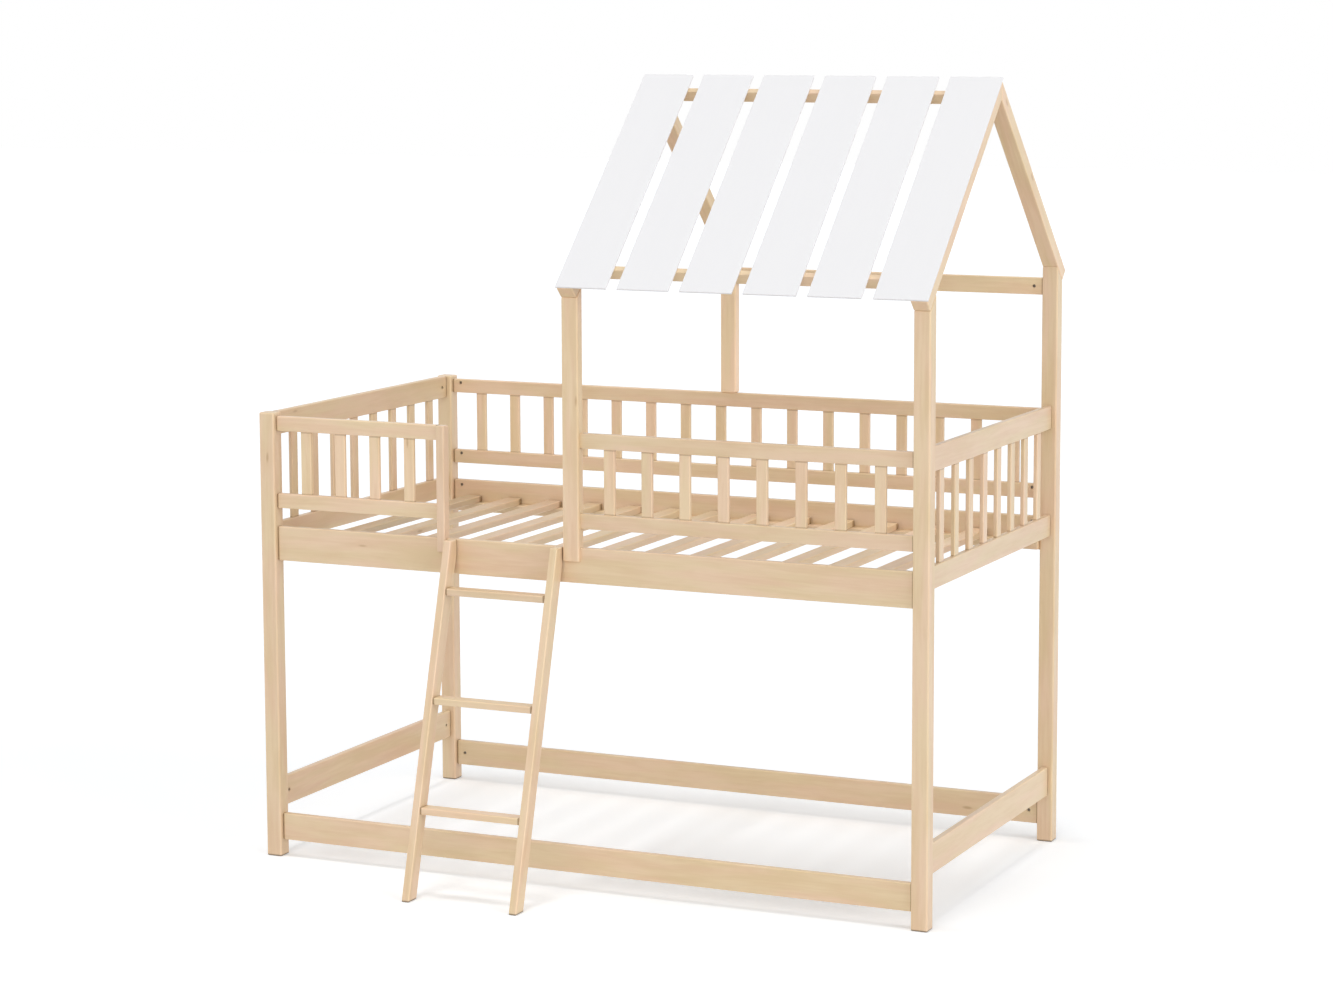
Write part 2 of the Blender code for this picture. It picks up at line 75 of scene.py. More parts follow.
# Timber: pale wood under a satin lacquer
WOOD_PALE = (0.815, 0.632, 0.440)
WOOD_DEEP = (0.690, 0.484, 0.292)
WOOD_ROSE = (0.805, 0.566, 0.412)
WOOD_STRAW = (0.735, 0.590, 0.352)
KNOT_BROWN = (0.42, 0.24, 0.11)
TINT_SHARE = 0.57
WOOD_ROUGHNESS = 0.24
FIBRE_ROUGHNESS = 0.16
GRAIN_DEPTH = 0.0004

# Growth rings round a pith, swaying along the board, and where in the log a board may lie
RING_SPACING = 0.012
RING_SHARPNESS = 1.8
RING_HEIGHT = 0.25
SWAY = Noise((1.3, 6, 6))
SWAY_REACH = 0.050
UNEVEN = Noise((0.8, 16, 16), 1.0)
UNEVEN_TURNS = 2.2
LOG_REACH = 9
PITH_CLEARANCE = 0.05
PITH_REACH = 0.14

# What lies in the timber, from broad clouds to single fibres, and where its hue turns from rose to straw
CLOUD = Noise((2.4, 8, 8))
FIGURE = Noise((4, 30, 30), 3.0, 0.6)
STREAKS = Noise((6, 110, 110), 2.0, 0.6)
FIBRES = Noise((26, 620, 620), 2.0, 0.65)
FLECKS = Noise((150, 1500, 1500), 0.0)
FLECK_RANGE = (0.66, 0.80)
HUE = Noise((3.2, 20, 20))
HUE_RANGE = (0.34, 0.66)
HUE_REACH = 0.75

# Pin knots: the cells they lie in, the share of cells without one, and how far a knot and its halo reach
KNOT_CELLS = (3.4, 12, 12)
CLEAR_SHARE = 0.45
KNOT_RANGE = (0.02, 0.075)
HALO_RANGE = (0.05, 0.24)
KNOT_SHARE = 0.55

# How deep the timber's colour is, and how much each thing in it deepens it
BASE_DEPTH = 0.32
CLOUD_STRENGTH = 2.00
FIGURE_STRENGTH = 3.00
STREAK_STRENGTH = 1.70
FIBRE_STRENGTH = 0.60
RING_STRENGTH = 0.20
FLECK_STRENGTH = 0.20
HALO_STRENGTH = 0.32
END_STRENGTH = 0.50

# How squarely a face looks one way where it becomes end grain, a flat face and not an edge, or a slat's side
END_RANGE = (0.75, 0.95)
FLAT_RANGE = (0.93, 0.985)
SIDE_RANGE = (0.5, 0.8)

# How the boards differ by chance, and the slats and rails within a guard
TONE_SEED = 500
TONE_RANGE = (0.98, 1.02)
DRIFT_RANGE = (0.0, 0.25)
GUARD_TONE = 0.97
GUARD_DRIFT = 0.12
SLAT_SEED = 40
SLAT_TONE_REACH = 0.08
SLAT_SHIFT = (5.0, 0.1, 0.1)
TOP_RAIL_SHIFT = 2.7

# Boards made paler or deeper than the rest, partly as painted light and shade: the bed slats graded from dark
# at the left to pale at the right as the light on them falls, and the back middle post and roof back rail
# made paler against the shade they stand in; the rest are small changes of tone
TONES_AND_PAINTED_LIGHT = {
    "post_back_middle": 1.16, "post_back_left": 1.03, "post_front_middle": 1.05,
    "side_rail_back": 0.98, "roof_back_rail": 1.12, "purlin_eave": 0.96, "purlin_ridge": 0.96,
    "guard_front_short": 1.05, "guard_front_long": 1.01, "guard_back": 1.04, "guard_stile": 0.97,
    "ladder_tread_1": 1.08, "ladder_tread_3": 0.97,
    "ladder_stringer_left": 0.98, "ladder_stringer_right": 1.02,
    "rafter_back_left": 1.08, "rafter_back_right": 1.05, "rafter_front_right": 1.05,
    "bed_slat_01": 0.78, "bed_slat_02": 0.92, "bed_slat_03": 0.92, "bed_slat_04": 0.97, "bed_slat_05": 0.96,
    "bed_slat_08": 1.06, "bed_slat_09": 1.10, "bed_slat_10": 1.10, "bed_slat_11": 1.12, "bed_slat_12": 1.15,
    "bed_slat_13": 1.13,
}

# Painted shade: how dark the timber is painted in a joint's crevice, where slats meet rails and under a foot;
# and a painted highlight: how much lighter a rounded edge is painted
PAINTED_SHADE_TINT = (0.50, 0.45, 0.38)
FOOT_SHADE_TINT = (0.30, 0.29, 0.27)
EDGE_HIGHLIGHT_GAIN = 0.07
CREVICE_SHADE_DEPTH = 0.0032
SEAM_SHADE_DEPTH = 0.0022
SEAM_SHADE_SHARE = 0.55
LEDGER_SHADE = 0.012
SEAT_SHADE = 0.004
FOOT_SHADE_DEPTH = 0.0065

# Pieces whose ends butt against others, painted darker at their ends as shade in the joint
BUTTED = ("side_rail", "low_rail", "roof_back_rail", "guard_front", "guard_back", "guard_left",
          "guard_right", "ladder_tread", "purlin", "bed_slat")

# Guards: their slats' width, a slat's margin and the widest gap, which sets how many slats there are
GUARD_SLAT_WIDTH = 0.032
SLAT_MARGIN = 0.0005
SLAT_GAP_LIMIT = 0.089

# A guard's grain, the axis along it, its end gaps as a share of the others, how far its slats stand off
# their even places, and its rails' heights
Guard = namedtuple("Guard", "turn axis end_gap_share offset low_rail top_rail")
SIDE_GUARD = Guard(ALONG_BED, axis=0, end_gap_share=1.0, offset=0.0, low_rail=0.042, top_rail=0.042)
END_GUARD = Guard(ACROSS_BED, axis=1, end_gap_share=1.0, offset=0.0, low_rail=0.062, top_rail=0.067)
GUARDS = {
    "guard_front_short": SIDE_GUARD,
    "guard_front_long": SIDE_GUARD,
    "guard_back": SIDE_GUARD._replace(end_gap_share=0.9, offset=0.005),
    "guard_left": END_GUARD,
    "guard_right": END_GUARD,
}

# White paint on the roof boards
PAINT_PALE = (0.830, 0.828, 0.840)
PAINT_DEEP = (0.800, 0.798, 0.812)
PAINT_CLOUD = Noise((2.2, 9, 9))
PAINT_GRAIN = Noise((9, 240, 240), 3.0, 0.6)
PAINT_PEEL = Noise((420, 420, 420), 1.0)
CLOUD_OVER_GRAIN_SHARE = 0.5
GRAIN_OVER_PEEL_SHARE = 0.6
PAINT_ROUGHNESS = 0.34
PEEL_ROUGHNESS = 0.16
PAINT_DEPTH = 0.0003

# Cross nuts: their steel, their shape and where they lie in the rails
STEEL_PALE = (0.25, 0.21, 0.17)
STEEL_DEEP = (0.14, 0.12, 0.10)
STEEL_MOTTLE = Noise((900, 900, 900))
STEEL_ROUGHNESS = 0.25
MOTTLE_ROUGHNESS = 0.25
MOTTLE_DEPTH = 0.0001
NUT_RADIUS = 0.0042
NUT_LENGTH = 0.009
NUT_CHAMFER = 0.00042
NUT_SIDES = 32
NUT_SHARP_ANGLE = 35
SLOT_LENGTH = 3 * NUT_RADIUS
SLOT_WIDTH = 0.32 * NUT_RADIUS
SLOT_DEPTH = 0.25 * NUT_RADIUS
NUT_RECESS = 0.0024
NUT_SETBACK = 0.028
SIDE_RAIL_NUT_DROP = 0.016
SIDE_GUARD_NUT_DROP = 0.011

# Studio: the sky's level, and the two shares that make the floor white where nothing shades it
WHITE = (1, 1, 1, 1)
SKY_LEVEL = 0.38
FLOOR_SIZE = 80
FLOOR_DEEP = (0.80, 0.80, 0.80)
FLOOR_PALE = (0.82, 0.82, 0.82)
FLOOR_SPECKS = Noise((3, 3, 3))
FLOOR_SHADING = (0.938, 0.968, 1.000)
FLOOR_GLOW = 0.215

# Each light's name, azimuth (counted as the camera's is), elevation, strength and spread
LIGHTS = (
    ("front_light", 10, 18, 0.97, 50),
    ("side_light", 80, 18, 1.32, 50),
    ("top_light", -20, 87, 0.66, 8.8),
    ("left_light", -72, 45, 0.38, 20),
)


# Shader helpers

def node(tree, kind, inputs=None, **settings):
    """One shader node with its settings, and its inputs as values or as the outputs that feed them."""
    made = tree.nodes.new(kind)
    for name, value in settings.items():
        setattr(made, name, value)
    for key, value in (inputs or {}).items():
        if isinstance(value, bpy.types.NodeSocket):
            tree.links.new(value, made.inputs[key])
        else:
            made.inputs[key].default_value = value
    return made


def maths(tree, operation, first, second=0.0, third=0.0):
    return node(tree, "ShaderNodeMath", {0: first, 1: second, 2: third}, operation=operation).outputs[0]


def vectors(tree, operation, first, second=(0, 0, 0)):
    return node(tree, "ShaderNodeVectorMath", {0: first, 1: second}, operation=operation).outputs[0]


def opposite(tree, share):
    return maths(tree, "SUBTRACT", 1.0, share)


def weighted(tree, share, first, second):
    """This share of the first number and the rest of the second."""
    return maths(tree, "MULTIPLY_ADD", first, share, maths(tree, "MULTIPLY", second, 1 - share))


def ramp(tree, share, low, high):
    """0 up to low, 1 from high on, smooth between."""
    return node(tree, "ShaderNodeMapRange", {"Value": share, "From Min": low, "From Max": high},
                interpolation_type="SMOOTHSTEP").outputs["Result"]


def axes(tree, vector):
    """A vector's X, Y and Z."""
    return node(tree, "ShaderNodeSeparateXYZ", {0: vector}).outputs


def object_place(tree):
    return node(tree, "ShaderNodeTexCoord").outputs["Object"]


def face_direction(tree):
    return node(tree, "ShaderNodeNewGeometry").outputs["True Normal"]


def noise(tree, place, layer):
    """The outputs of a layer of noise."""
    placed = vectors(tree, "MULTIPLY", place, layer.stretch)
    return node(tree, "ShaderNodeTexNoise", {"Vector": placed, "Scale": 1.0, "Detail": layer.detail,
                                             "Roughness": layer.roughness}).outputs


def blend(tree, share, first, second, mode="MIX"):
    """A colour mix; share, first and second are values or outputs."""
    first, second = (colour if isinstance(colour, bpy.types.NodeSocket) else (*colour, 1)
                     for colour in (first, second))
    return node(tree, "ShaderNodeMix", {MIX_SHARE: share, FIRST_COLOUR: first, SECOND_COLOUR: second},
                data_type="RGBA", blend_type=mode).outputs[MIXED_COLOUR]


def shaded(tree, colour, share, tint):
    """A colour, times the tint where share is 1."""
    return blend(tree, share, colour, blend(tree, 1.0, colour, tint, "MULTIPLY"))


def new_group(name, inputs, outputs):
    group = bpy.data.node_groups.new(name, "ShaderNodeTree")
    for socket, kind in inputs:
        group.interface.new_socket(socket, in_out="INPUT", socket_type="NodeSocket" + kind)
    for socket, kind in outputs:
        group.interface.new_socket(socket, in_out="OUTPUT", socket_type="NodeSocket" + kind)
    return group, node(group, "NodeGroupInput").outputs, node(group, "NodeGroupOutput").inputs


def fresh_material(name):
    material = bpy.data.materials.new(name)
    material.use_nodes = True
    return material, material.node_tree


def feed_shader(material, colour, roughness, height, depth):
    """Feeds a material's shader, with the surface height as a fine bump this many metres deep."""
    tree = material.node_tree
    shader = tree.nodes["Principled BSDF"]
    bump = node(tree, "ShaderNodeBump", {"Height": height, "Strength": BUMP_STRENGTH, "Distance": depth})
    tree.links.new(colour, shader.inputs["Base Color"])
    tree.links.new(roughness, shader.inputs["Roughness"])
    tree.links.new(bump.outputs["Normal"], shader.inputs["Normal"])
    return shader


# Timber

def growth_rings(group, place, bent):
    """How far a point is into its growth ring, from 0 to 1 in the dark late wood."""
    across = vectors(group, "MULTIPLY", bent, (0, 1, 1))
    radius = node(group, "ShaderNodeVectorMath", {0: across}, operation="LENGTH").outputs["Value"]
    uneven = maths(group, "MULTIPLY", noise(group, place, UNEVEN)["Fac"], UNEVEN_TURNS)
    turns = maths(group, "MULTIPLY_ADD", radius, 1 / RING_SPACING, uneven)
    return maths(group, "POWER", maths(group, "FRACT", turns), RING_SHARPNESS)


def pin_knots(group, bent):
    """1 in a knot, and 1 in the darker halo round it."""
    cells = node(group, "ShaderNodeTexVoronoi",
                 {"Vector": vectors(group, "MULTIPLY", bent, KNOT_CELLS), "Scale": 1.0, "Randomness": 1.0})
    chance = node(group, "ShaderNodeSeparateColor", {0: cells.outputs["Color"]}).outputs[0]
    chosen = maths(group, "GREATER_THAN", chance, CLEAR_SHARE)
    return [maths(group, "MULTIPLY", chosen, opposite(group, ramp(group, cells.outputs["Distance"], *limits)))
            for limits in (KNOT_RANGE, HALO_RANGE)]


def timber_group():
    """Solid timber with its grain along X: growth rings, clouds, figure, fibres, flecks and pin knots."""
    group, given, result = new_group(
        "timber",
        (("Place", "Vector"), ("End", "Float"), ("Edge", "Float"), ("Tone", "Float"), ("Drift", "Float")),
        (("Color", "Color"), ("Roughness", "Float"), ("Height", "Float")))
    place = given["Place"]
    sway = vectors(group, "SUBTRACT", noise(group, place, SWAY)["Color"], (0.5, 0.5, 0.5))
    bent = vectors(group, "ADD", place, vectors(group, "MULTIPLY", sway, (0, SWAY_REACH, SWAY_REACH)))
    ring = growth_rings(group, place, bent)
    knot, halo = pin_knots(group, bent)
    cloud = noise(group, place, CLOUD)["Fac"]
    figure, streaks, fibres, flecks, hue = (
        noise(group, bent, layer)["Fac"] for layer in (FIGURE, STREAKS, FIBRES, FLECKS, HUE))

    depth = BASE_DEPTH
    for strength, part in ((CLOUD_STRENGTH, cloud), (FIGURE_STRENGTH, figure),
                           (STREAK_STRENGTH, streaks), (FIBRE_STRENGTH, fibres)):
        depth = maths(group, "MULTIPLY_ADD", maths(group, "SUBTRACT", part, 0.5), strength, depth)
    for strength, part in ((RING_STRENGTH, ring), (FLECK_STRENGTH, ramp(group, flecks, *FLECK_RANGE)),
                           (HALO_STRENGTH, halo), (END_STRENGTH, given["End"])):
        depth = maths(group, "MULTIPLY_ADD", part, strength, depth)
    body = blend(group, node(group, "ShaderNodeClamp", {0: depth}).outputs[0], WOOD_PALE, WOOD_DEEP)

    straw = maths(group, "MULTIPLY_ADD", ramp(group, hue, *HUE_RANGE), HUE_REACH, given["Drift"])
    body = blend(group, TINT_SHARE, body, blend(group, straw, WOOD_ROSE, WOOD_STRAW))
    body = blend(group, maths(group, "MULTIPLY", knot, KNOT_SHARE), body, KNOT_BROWN)
    # Painted highlight: the rounding of each edge made lighter
    gain = maths(group, "MULTIPLY_ADD", given["Edge"], EDGE_HIGHLIGHT_GAIN, given["Tone"])
    grey = node(group, "ShaderNodeCombineColor", {0: gain, 1: gain, 2: gain}).outputs[0]
    group.links.new(blend(group, 1.0, body, grey, "MULTIPLY"), result["Color"])
    roughness = maths(group, "MULTIPLY_ADD", fibres, FIBRE_ROUGHNESS, WOOD_ROUGHNESS)
    group.links.new(roughness, result["Roughness"])
    group.links.new(maths(group, "MULTIPLY_ADD", ring, RING_HEIGHT, fibres), result["Height"])
    return group


TIMBER = timber_group()


def cut_from(tree, place, turn, number):
    """Where a board lies in the log: its grain turned to X, at a random place by its number."""
    draw = random.Random(number)
    offset = (draw.uniform(-LOG_REACH, LOG_REACH), draw.uniform(PITH_CLEARANCE, PITH_REACH),
              draw.uniform(-PITH_REACH, PITH_REACH))
    return node(tree, "ShaderNodeMapping", {"Vector": place, "Rotation": turn, "Location": offset}).outputs[0]


def facing(tree, turn):
    """Two shares from the way a face looks: 1 across the grain's ends, and 1 on the rounding of an edge."""
    aligned = node(tree, "ShaderNodeVectorRotate", {"Vector": face_direction(tree), "Rotation": turn},
                   rotation_type="EULER_XYZ").outputs[0]
    parts = axes(tree, vectors(tree, "ABSOLUTE", aligned))
    steepest = maths(tree, "MAXIMUM", parts[0], maths(tree, "MAXIMUM", parts[1], parts[2]))
    return ramp(tree, parts[0], *END_RANGE), opposite(tree, ramp(tree, steepest, *FLAT_RANGE))


def sawn(tree, where, end, edge, tone, drift):
    """The outputs of the timber at a place in the log."""
    given = {"Place": where, "End": end, "Edge": edge, "Tone": tone, "Drift": drift}
    return node(tree, "ShaderNodeGroup", given, node_tree=TIMBER).outputs


def longest_axis(name):
    low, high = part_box(name)
    size = high - low
    return max(range(3), key=lambda axis: size[axis])


def near_faces(tree, place, axis, low, high, depth):
    """1 within this depth of the low and high faces on an axis, fading to 0 at twice the depth."""
    off_centre = maths(tree, "ABSOLUTE", maths(tree, "SUBTRACT", axes(tree, place)[axis], (low + high) / 2))
    half = (high - low) / 2
    return ramp(tree, off_centre, half - 2 * depth, half - depth)


def shaded_joints(tree, colour, place, name):
    """A piece's colour with painted shade: darker where it butts against another or seats on one, and under
    its foot.
    """
    low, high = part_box(name)
    axis = longest_axis(name)
    # Painted shade in the crevice at each butted end
    if name.startswith(BUTTED):
        crevice_shade = near_faces(tree, place, axis, low[axis], high[axis], CREVICE_SHADE_DEPTH)
        colour = shaded(tree, colour, crevice_shade, PAINTED_SHADE_TINT)
    # Painted shade on a bed slat's sides where it lies over the ledger
    if name.startswith("bed_slat"):
        sideways = axes(tree, vectors(tree, "ABSOLUTE", face_direction(tree)))[0]
        over_ledger_shade = maths(tree, "MULTIPLY", ramp(tree, sideways, *SIDE_RANGE),
                            near_faces(tree, place, axis, low[axis], high[axis], LEDGER_SHADE))
        colour = shaded(tree, colour, over_ledger_shade, PAINTED_SHADE_TINT)
    # Painted shade where a ladder stringer seats against the side rail
    if name.startswith("ladder_stringer"):
        stringer_seat_shade = ramp(tree, axes(tree, place)[1], high.y - 2 * SEAT_SHADE, high.y - SEAT_SHADE)
        colour = shaded(tree, colour, stringer_seat_shade, PAINTED_SHADE_TINT)
    # Painted contact shadow: the foot's bottom few millimetres made dark
    if low.z < FOOT_SHADE_DEPTH:
        above = ramp(tree, axes(tree, place)[2], low.z + FOOT_SHADE_DEPTH / 3, low.z + FOOT_SHADE_DEPTH)
        colour = shaded(tree, colour, opposite(tree, above), FOOT_SHADE_TINT)
    return colour


def timber(name, turn, number):
    """The timber of one board."""
    material, tree = fresh_material(name + "_timber")
    draw = random.Random(number + TONE_SEED)
    # A chance tone, times the board's tone with its painted light and shade
    tone = TONES_AND_PAINTED_LIGHT.get(name, 1.0) * draw.uniform(*TONE_RANGE)
    drift = draw.uniform(*DRIFT_RANGE)
    place = object_place(tree)
    end, edge = facing(tree, turn)
    wood = sawn(tree, cut_from(tree, place, turn, number), end, edge, tone, drift)
    colour = shaded_joints(tree, wood["Color"], place, name)
    feed_shader(material, colour, wood["Roughness"], wood["Height"], GRAIN_DEPTH)
    return material


def slat_row(length, end_gap_share):
    """How far in a guard's first slat starts, and the pitch of its slats."""
    end_gaps = 2 * end_gap_share
    count = math.ceil((length - (end_gaps - 1) * SLAT_GAP_LIMIT) / (GUARD_SLAT_WIDTH + SLAT_GAP_LIMIT))
    gap = (length - count * GUARD_SLAT_WIDTH) / (count - 1 + end_gaps)
    return end_gap_share * gap, GUARD_SLAT_WIDTH + gap


def slat_columns(tree, along, low, high, guard):
    """The number of the slat nearest to a place along its guard, and 1 where that slat stands."""
    start, pitch = slat_row(high - low, guard.end_gap_share)
    first = low + start + guard.offset - (pitch - GUARD_SLAT_WIDTH) / 2
    turns = maths(tree, "DIVIDE", maths(tree, "SUBTRACT", along, first), pitch)
    slat = maths(tree, "FLOOR", turns)
    off_slat = maths(tree, "ABSOLUTE", maths(tree, "SUBTRACT", maths(tree, "SUBTRACT", turns, slat), 0.5))
    return slat, maths(tree, "LESS_THAN", off_slat, (GUARD_SLAT_WIDTH / 2 + SLAT_MARGIN) / pitch)


def guard_timber(name, guard, number):
    """A guard's timber: rails along it, and slats whose grain stands up, each cut from a different place."""
    material, tree = fresh_material(name + "_timber")
    low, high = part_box(name)
    slat_low = low.z + guard.low_rail
    slat_high = high.z - guard.top_rail
    place = object_place(tree)
    parts = axes(tree, place)
    slat, in_column = slat_columns(tree, parts[guard.axis], low[guard.axis], high[guard.axis], guard)
    height = parts[2]
    upper = maths(tree, "GREATER_THAN", height, (slat_low + slat_high) / 2)
    in_slats = maths(tree, "MULTIPLY", maths(tree, "GREATER_THAN", height, slat_low),
                     maths(tree, "LESS_THAN", height, slat_high))

    chance = node(tree, "ShaderNodeTexWhiteNoise", {"W": maths(tree, "ADD", slat, number)},
                  noise_dimensions="1D").outputs["Color"]
    rail_shift = node(tree, "ShaderNodeCombineXYZ", {0: maths(tree, "MULTIPLY", upper, TOP_RAIL_SHIFT)})
    as_rail = vectors(tree, "ADD", cut_from(tree, place, guard.turn, number), rail_shift.outputs[0])
    as_slat = vectors(tree, "ADD", cut_from(tree, place, UPRIGHT, number + SLAT_SEED),
                      vectors(tree, "MULTIPLY", chance, SLAT_SHIFT))
    where = node(tree, "ShaderNodeMix", {MIX_SHARE: in_slats, FIRST_VECTOR: as_rail, SECOND_VECTOR: as_slat},
                 data_type="VECTOR").outputs[MIXED_VECTOR]
    end, edge = facing(tree, guard.turn)
    end = maths(tree, "MULTIPLY", end, opposite(tree, in_slats))
    # The guard's tone includes its painted light and shade from the table above
    tone = maths(tree, "MULTIPLY_ADD", node(tree, "ShaderNodeSeparateColor", {0: chance}).outputs[2],
                 maths(tree, "MULTIPLY", in_slats, SLAT_TONE_REACH), GUARD_TONE * TONES_AND_PAINTED_LIGHT.get(name, 1.0))
    wood = sawn(tree, where, end, edge, tone, GUARD_DRIFT)

    # Painted shade where the slats meet the guard's rails
    slat_end_shade = maths(tree, "MULTIPLY", maths(tree, "MULTIPLY", in_slats, in_column),
                      near_faces(tree, place, 2, slat_low, slat_high, SEAM_SHADE_DEPTH))
    colour = shaded(tree, shaded_joints(tree, wood["Color"], place, name),
                    maths(tree, "MULTIPLY", slat_end_shade, SEAM_SHADE_SHARE), PAINTED_SHADE_TINT)
    feed_shader(material, colour, wood["Roughness"], wood["Height"], GRAIN_DEPTH)
    return material


# White paint and steel

def board_paint(name, turn, number):
    """Sprayed white paint over a planed board, whose grain just shows through."""
    material, tree = fresh_material(name + "_paint")
    place = cut_from(tree, object_place(tree), turn, number)
    cloud, grain, peel = (
        noise(tree, place, layer)["Fac"] for layer in (PAINT_CLOUD, PAINT_GRAIN, PAINT_PEEL))
    colour = blend(tree, weighted(tree, CLOUD_OVER_GRAIN_SHARE, cloud, grain), PAINT_PALE, PAINT_DEEP)
    roughness = maths(tree, "MULTIPLY_ADD", peel, PEEL_ROUGHNESS, PAINT_ROUGHNESS)
    feed_shader(material, colour, roughness, weighted(tree, GRAIN_OVER_PEEL_SHARE, grain, peel), PAINT_DEPTH)
    return material


def nut_steel():
    """Plated steel, dull and finely mottled."""
    material, tree = fresh_material("nut_steel")
    mottle = noise(tree, object_place(tree), STEEL_MOTTLE)["Fac"]
    colour = blend(tree, mottle, STEEL_PALE, STEEL_DEEP)
    roughness = maths(tree, "MULTIPLY_ADD", mottle, MOTTLE_ROUGHNESS, STEEL_ROUGHNESS)
    shader = feed_shader(material, colour, roughness, mottle, MOTTLE_DEPTH)
    shader.inputs["Metallic"].default_value = 1.0
    return material


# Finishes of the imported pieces

def slope_of(name):
    """The angle to the floor of a slanted piece that runs up towards the back."""
    low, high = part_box(name)
    return math.atan2(high.z - low.z, high.y - low.y)


ROOF_SLOPE = slope_of("roof_board_1")


def grain_turn(name):
    """How a piece's grain direction is turned to X."""
    if name.startswith("ladder_stringer"):
        return (-slope_of(name), 0, -QUARTER_TURN)
    if name.startswith(("rafter_front", "roof_board")):
        return (-ROOF_SLOPE, 0, -QUARTER_TURN)
    if name.startswith("rafter_back"):
        return (ROOF_SLOPE, 0, -QUARTER_TURN)
    return (ALONG_BED, ACROSS_BED, UPRIGHT)[longest_axis(name)]


def finish_of(name, number):
    if name in GUARDS:
        return guard_timber(name, GUARDS[name], number)
    if name.startswith("roof_board"):
        return board_paint(name, grain_turn(name), number)
    return timber(name, grain_turn(name), number)


def finish_pieces():
    for number, name in enumerate(sorted(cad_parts)):
        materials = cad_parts[name].data.materials
        materials.clear()
        materials.append(finish_of(name, number))


# Cross nuts

def new_object(name, data):
    made = bpy.data.objects.new(name, data)
    bpy.context.scene.collection.objects.link(made)
    return made


def new_mesh(name, grid):
    """A mesh with the faces of a bmesh, which it frees."""
    mesh = bpy.data.meshes.new(name)
    grid.to_mesh(mesh)
    grid.free()
    return mesh


def nut_blank():
    """A barrel with a chamfered rim, its outer face at the origin facing +Z."""
    grid = bmesh.new()
    bmesh.ops.create_cone(grid, cap_ends=True, segments=NUT_SIDES, radius1=NUT_RADIUS, radius2=NUT_RADIUS,
                          depth=NUT_LENGTH, matrix=Matrix.Translation((0, 0, -NUT_LENGTH / 2)))
    rim = [edge for edge in grid.edges if all(vert.co.z > -NUT_LENGTH / 2 for vert in edge.verts)]
    bmesh.ops.bevel(grid, geom=rim, offset=NUT_CHAMFER, segments=2, profile=0.5, affect="EDGES")
    return new_object("nut_blank", new_mesh("nut_blank", grid))


def slot_cutter():
    """A bar across the outer face, half of it in the nut."""
    grid = bmesh.new()
    bmesh.ops.create_cube(grid, size=1, matrix=Matrix.Diagonal((SLOT_LENGTH, SLOT_WIDTH, 2 * SLOT_DEPTH, 1)))
    return new_object("nut_slot", new_mesh("nut_slot", grid))


def nut_mesh():
    """A barrel nut with a screwdriver slot."""
    blank = nut_blank()
    cutter = slot_cutter()
    slot = blank.modifiers.new("slot", "BOOLEAN")
    slot.operation = "DIFFERENCE"
    slot.object = cutter
    bpy.context.view_layer.update()
    mesh = bpy.data.meshes.new_from_object(blank.evaluated_get(bpy.context.evaluated_depsgraph_get()))
    for used in (blank, cutter):
        bpy.data.objects.remove(used, do_unlink=True)
    mesh.name = "cross_nut"
    mesh.shade_smooth()
    mesh.set_sharp_from_angle(angle=math.radians(NUT_SHARP_ANGLE))
    return mesh


def nuts_along(name, heights, ends=("start", "end")):
    """The nuts of a rail along the bed: each one's place on the inner face, and the way that face looks."""
    low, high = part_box(name)
    in_front = low.y < 0 and high.y < 0
    face = high.y if in_front else low.y
    inward = Vector((0, 1 if in_front else -1, 0))
    x_of = {"start": low.x + NUT_SETBACK, "end": high.x - NUT_SETBACK}
    return [(Vector((x_of[end], face, height)), inward) for end in ends for height in heights]


def nuts_across(name, heights):
    """The same for a rail across the bed."""
    low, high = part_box(name)
    on_left = high.x < 0
    face = high.x if on_left else low.x
    inward = Vector((1 if on_left else -1, 0, 0))
    return [(Vector((face, y, height)), inward)
            for y in (low.y + NUT_SETBACK, high.y - NUT_SETBACK) for height in heights]


def middle_height(name):
    low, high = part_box(name)
    return (low.z + high.z) / 2


def side_rail_height(name):
    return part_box(name)[1].z - SIDE_RAIL_NUT_DROP


def guard_heights(name):
    """A nut's height in each rail of a guard: amid an end guard's rails, near the top of a side guard's."""
    low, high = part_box(name)
    guard = GUARDS[name]
    if guard.turn == ACROSS_BED:
        return [low.z + guard.low_rail / 2, high.z - guard.top_rail / 2]
    return [low.z + guard.low_rail - SIDE_GUARD_NUT_DROP, high.z - SIDE_GUARD_NUT_DROP]


def nut_places():
    """Every nut's place and the way that it looks out of its bore."""
    places = []
    for name in ("side_rail_front", "side_rail_back"):
        places += nuts_along(name, [side_rail_height(name)])
    for name in ("low_rail_front", "low_rail_back", "roof_back_rail"):
        places += nuts_along(name, [middle_height(name)])
    for name in ("low_rail_left", "low_rail_right"):
        places += nuts_across(name, [middle_height(name)])
    places += nuts_along("guard_front_short", guard_heights("guard_front_short"), ("start",))
    places += nuts_along("guard_front_long", guard_heights("guard_front_long"), ("end",))
    places += nuts_along("guard_back", guard_heights("guard_back"))
    for name in ("guard_left", "guard_right"):
        places += nuts_across(name, guard_heights(name))
    return places


def cross_nuts():
    mesh = nut_mesh()
    mesh.materials.clear()
    mesh.materials.append(nut_steel())
    for number, (place, outward) in enumerate(nut_places(), 1):
        nut = new_object(f"cross_nut_{number:02d}", mesh)
        aim = outward.to_track_quat("Z", "Y").to_matrix().to_4x4()
        spin = Matrix.Rotation(random.Random(number).uniform(0, math.pi), 4, "Z")
        nut.matrix_world = Matrix.Translation(place - outward * NUT_RECESS) @ aim @ spin
        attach(nut, "root")


# Studio

def seen_directly(tree):
    """1 in what the camera sees, straight or by a gloss, and 0 in the light that falls on the bed."""
    ways = node(tree, "ShaderNodeLightPath").outputs
    return maths(tree, "MAXIMUM", ways["Is Camera Ray"],
                 maths(tree, "MAXIMUM", ways["Is Glossy Ray"], ways["Is Transmission Ray"]))


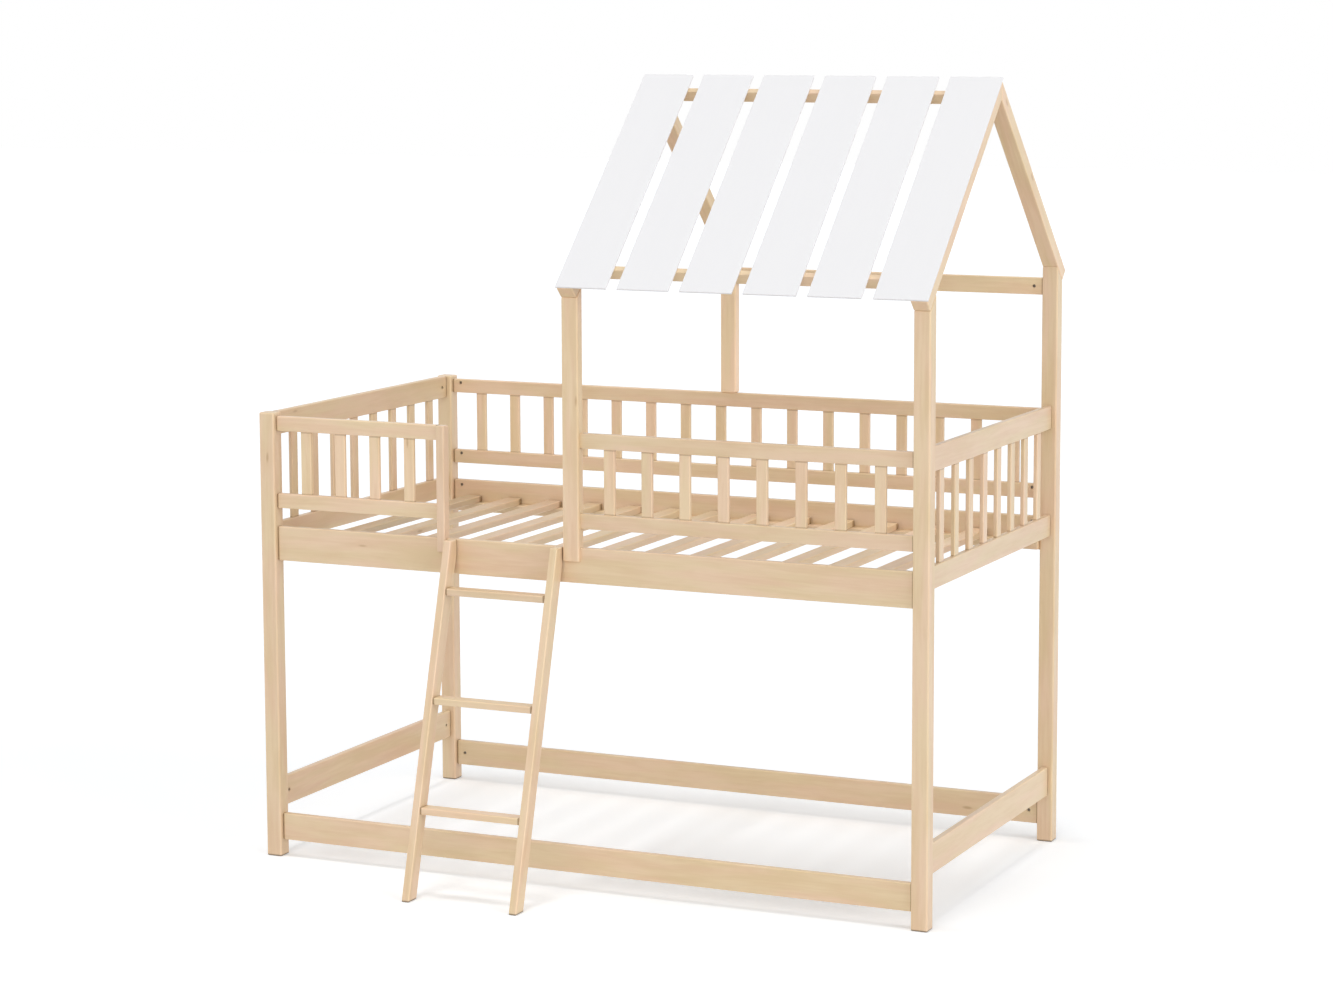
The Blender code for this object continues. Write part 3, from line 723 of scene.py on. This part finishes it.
def floor():
    """A floor that lights the bed as a pale one would, and looks white but for the bed's shadow."""
    bpy.ops.mesh.primitive_plane_add(size=FLOOR_SIZE)
    ground = bpy.context.object
    ground.name = "floor"
    material, tree = fresh_material("floor")
    seen = seen_directly(tree)
    pale = blend(tree, noise(tree, object_place(tree), FLOOR_SPECKS)["Fac"], FLOOR_DEEP, FLOOR_PALE)
    matte = node(tree, "ShaderNodeBsdfDiffuse", {"Color": blend(tree, seen, pale, FLOOR_SHADING)})
    glow = node(tree, "ShaderNodeEmission",
                {"Color": WHITE, "Strength": maths(tree, "MULTIPLY", seen, FLOOR_GLOW)})
    shown = node(tree, "ShaderNodeAddShader", {0: matte.outputs[0], 1: glow.outputs[0]})
    tree.links.new(shown.outputs[0], tree.nodes["Material Output"].inputs["Surface"])
    tree.nodes.remove(tree.nodes["Principled BSDF"])
    ground.data.materials.append(material)


def surroundings():
    """Even light from all round, white to the camera."""
    world = bpy.data.worlds.new("studio")
    bpy.context.scene.world = world
    world.use_nodes = True
    tree = world.node_tree
    level = node(tree, "ShaderNodeMapRange",
                 {"Value": seen_directly(tree), "To Min": SKY_LEVEL, "To Max": 1.0}).outputs["Result"]
    background = tree.nodes["Background"]
    tree.links.new(level, background.inputs["Strength"])
    background.inputs["Color"].default_value = WHITE


def soft_sun(name, azimuth, elevation, strength, spread):
    """A wide soft light, with its angles in degrees."""
    light = bpy.data.lights.new(name, "SUN")
    light.energy = strength
    light.angle = math.radians(spread)
    lamp = new_object(name, light)
    lamp.rotation_euler = (math.radians(90 - elevation), 0, math.radians(azimuth))


def camera():
    lens = bpy.data.cameras.new("camera")
    lens.lens = CAMERA_LENS
    lens.sensor_width = SENSOR_WIDTH
    lens.shift_x, lens.shift_y = FRAME_SHIFT
    lens.clip_end = CAMERA_REACH
    view = new_object("camera", lens)
    view.location = CAMERA_PLACE
    view.rotation_euler = (math.radians(90 + CAMERA_TILT), 0, math.radians(CAMERA_AZIMUTH))
    bpy.context.scene.camera = view


bpy.context.scene.view_settings.view_transform = "Standard"
finish_pieces()
cross_nuts()
floor()
surroundings()
for light in LIGHTS:
    soft_sun(*light)
camera()
